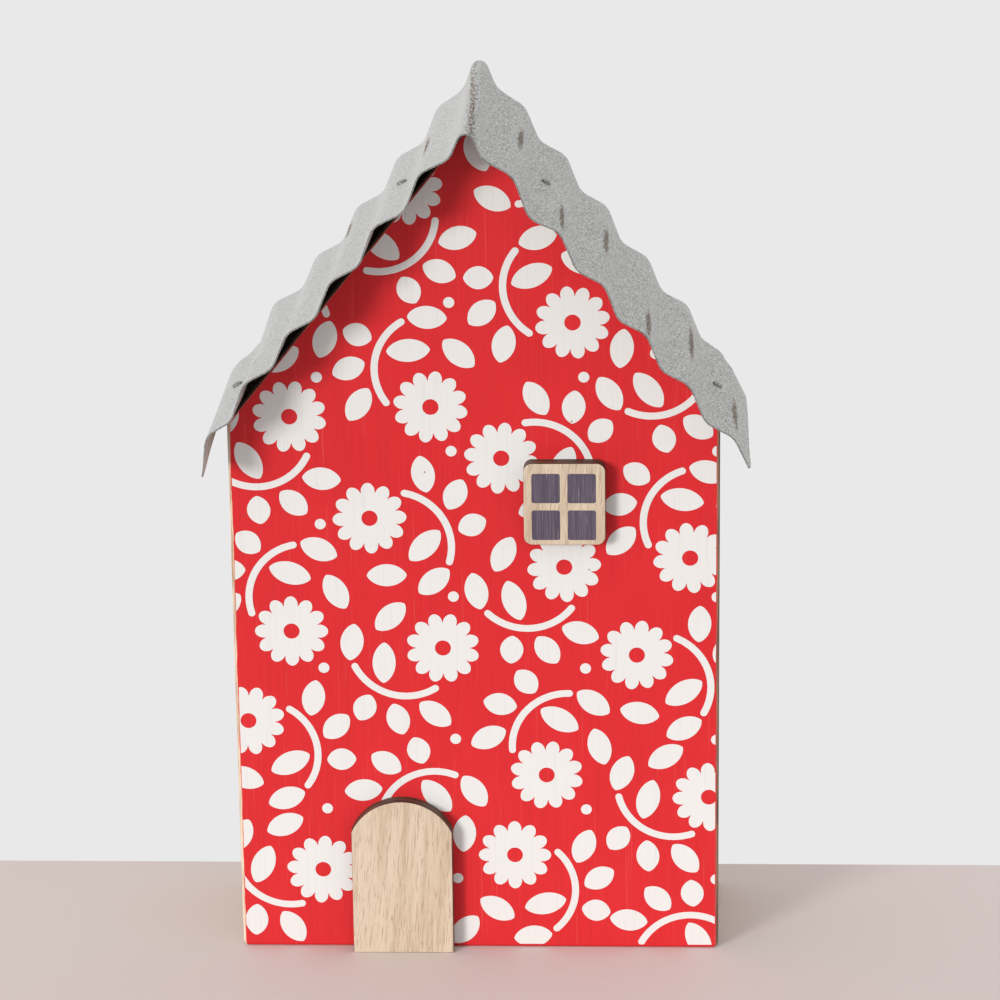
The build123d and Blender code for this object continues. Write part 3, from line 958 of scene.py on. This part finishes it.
def floor_finish(stage):
    """A matt pale floor with a faint mottle: dark well in front, and glowing evenly past the far edge."""
    recipe = Recipe("pale_floor")
    cloud = recipe.noise((3.0, 3.0, 3.0), detail=2.0)
    darker = tuple(value * 0.98 for value in stage.floor)
    near = recipe.mix(recipe.stretch(cloud, 0.3, 0.7), tuple(stage.floor), darker)
    before = recipe.stretch(recipe.axis("Y"), DARK_FLOOR_START, DARK_FLOOR_FULL)
    near = recipe.mix(before, near, DARK_FLOOR)
    far = recipe.math("GREATER_THAN", recipe.axis("Y"), stage.far_edge)
    recipe.set(recipe.shader, "Emission Color", tuple(stage.far_floor))
    recipe.set(recipe.shader, "Emission Strength", far)
    shine = recipe.math("SUBTRACT", FLOOR_SHINE, recipe.math("MULTIPLY", far, FLOOR_SHINE))
    recipe.set(recipe.shader, "Specular IOR Level", shine)
    return recipe.finish(recipe.mix(far, near, (0.0, 0.0, 0.0)), 0.6)


def add_floor(stage):
    """The floor under the house: a flat grid."""
    across = np.linspace(-FLOOR_REACH, FLOOR_REACH, FLOOR_POINTS)
    x, y = np.meshgrid(across, across, indexing="ij")
    points = np.stack([x, y, np.zeros_like(x)], axis=-1).reshape(-1, 3)
    faces = grid_faces(FLOOR_POINTS, FLOOR_POINTS)[:, ::-1].tolist()
    mesh = bpy.data.meshes.new("floor")
    mesh.from_pydata(points.tolist(), [], faces)
    floor = bpy.data.objects.new("floor", mesh)
    floor.data.materials.append(floor_finish(stage))
    bpy.context.scene.collection.objects.link(floor)


# --- Operators -------------------------------------------------------------
def dress(name, *materials):
    """Give a carried-over node its finish."""
    slots = NODES[name].data.materials
    slots.clear()
    for material in materials:
        slots.append(material)


class HOUSE_OT_wooden_body(bpy.types.Operator):
    """Give the boards of the box their paint and wood, and the brads their steel"""

    bl_idname = "house.wooden_body"
    bl_label = "Wooden Body"

    def execute(self, context):
        boards = context.scene.house_boards
        dress("front_panel", painted_wood(boards))
        dress("back_panel", bare_wood(boards, "back_board_wood", tone=0.94))
        upright = bare_wood(boards, "wall_wood")
        dress("left_wall", upright)
        dress("right_wall", upright)
        dress("floor_board", bare_wood(boards, "floor_wood", turn=math.pi / 2, tone=0.9))
        for side, name in ((LEFT, "left_roof_board"), (RIGHT, "right_roof_board")):
            dress(name, bare_wood(boards, f"{name}_wood", turn=side * (math.pi / 2 - SLOPE_ANGLE)))
        dress("front_brads", pin_steel("painted_brad", boards.paint))
        dress("back_brads", pin_steel("brad_steel"))
        return {"FINISHED"}


class HOUSE_OT_flower_print(bpy.types.Operator):
    """Lay the white flower print on the front"""

    bl_idname = "house.flower_print"
    bl_label = "Flower Print"

    def execute(self, context):
        build_print(context.scene.house_print)
        return {"FINISHED"}


class HOUSE_OT_corrugated_roof(bpy.types.Operator):
    """Bend the corrugated sheet over the gable"""

    bl_idname = "house.corrugated_roof"
    bl_label = "Corrugated Roof"

    def execute(self, context):
        build_sheet(context.scene.house_roof)
        dress("roof_nails", pin_steel("nail_steel"))
        return {"FINISHED"}


class HOUSE_OT_door_and_window(bpy.types.Operator):
    """Finish the oak door and window boards and paint the panes"""

    bl_idname = "house.door_and_window"
    bl_label = "Door and Window"

    def execute(self, context):
        wood = oak(context.scene.house_boards)
        dress("door", wood)
        dress("window", wood)
        build_panes(context.scene.house_panes)
        return {"FINISHED"}


class HOUSE_OT_stage(bpy.types.Operator):
    """Set the floor, the lights and the camera"""

    bl_idname = "house.stage"
    bl_label = "Stage"

    def execute(self, context):
        stage = context.scene.house_stage
        add_floor(stage)
        add_lights(stage)
        add_camera()
        context.scene.view_settings.view_transform = "Standard"
        return {"FINISHED"}


OPERATORS = [
    HOUSE_OT_wooden_body,
    HOUSE_OT_flower_print,
    HOUSE_OT_corrugated_roof,
    HOUSE_OT_door_and_window,
    HOUSE_OT_stage,
]
SETTINGS = {
    "house_boards": BoardSettings,
    "house_print": PrintSettings,
    "house_panes": PaneSettings,
    "house_roof": RoofSettings,
    "house_stage": StageSettings,
}


class HOUSE_PT_sidebar(bpy.types.Panel):
    """Lists the house's parts and their settings"""

    bl_idname = "HOUSE_PT_sidebar"
    bl_label = "House"
    bl_space_type = "VIEW_3D"
    bl_region_type = "UI"
    bl_category = "House"

    def draw(self, context):
        for group in SETTINGS:
            box = self.layout.box()
            settings = getattr(context.scene, group)
            for name in settings.__annotations__:
                box.prop(settings, name)
        for operator in OPERATORS:
            self.layout.operator(operator.bl_idname)


def register():
    """Register every class and hang the settings on the scene."""
    for cls in (*SETTINGS.values(), *OPERATORS, HOUSE_PT_sidebar):
        bpy.utils.register_class(cls)
    for name, group in SETTINGS.items():
        setattr(bpy.types.Scene, name, PointerProperty(type=group))


def unregister():
    """Take the settings and the classes away again."""
    for name in SETTINGS:
        delattr(bpy.types.Scene, name)
    for cls in (HOUSE_PT_sidebar, *OPERATORS[::-1], *SETTINGS.values()):
        bpy.utils.unregister_class(cls)


def main():
    """Build everything in order."""
    register()
    bpy.ops.house.wooden_body()
    bpy.ops.house.flower_print()
    bpy.ops.house.corrugated_roof()
    bpy.ops.house.door_and_window()
    bpy.ops.house.stage()
    bpy.context.view_layer.update()


if __name__ == "__main__":
    main()
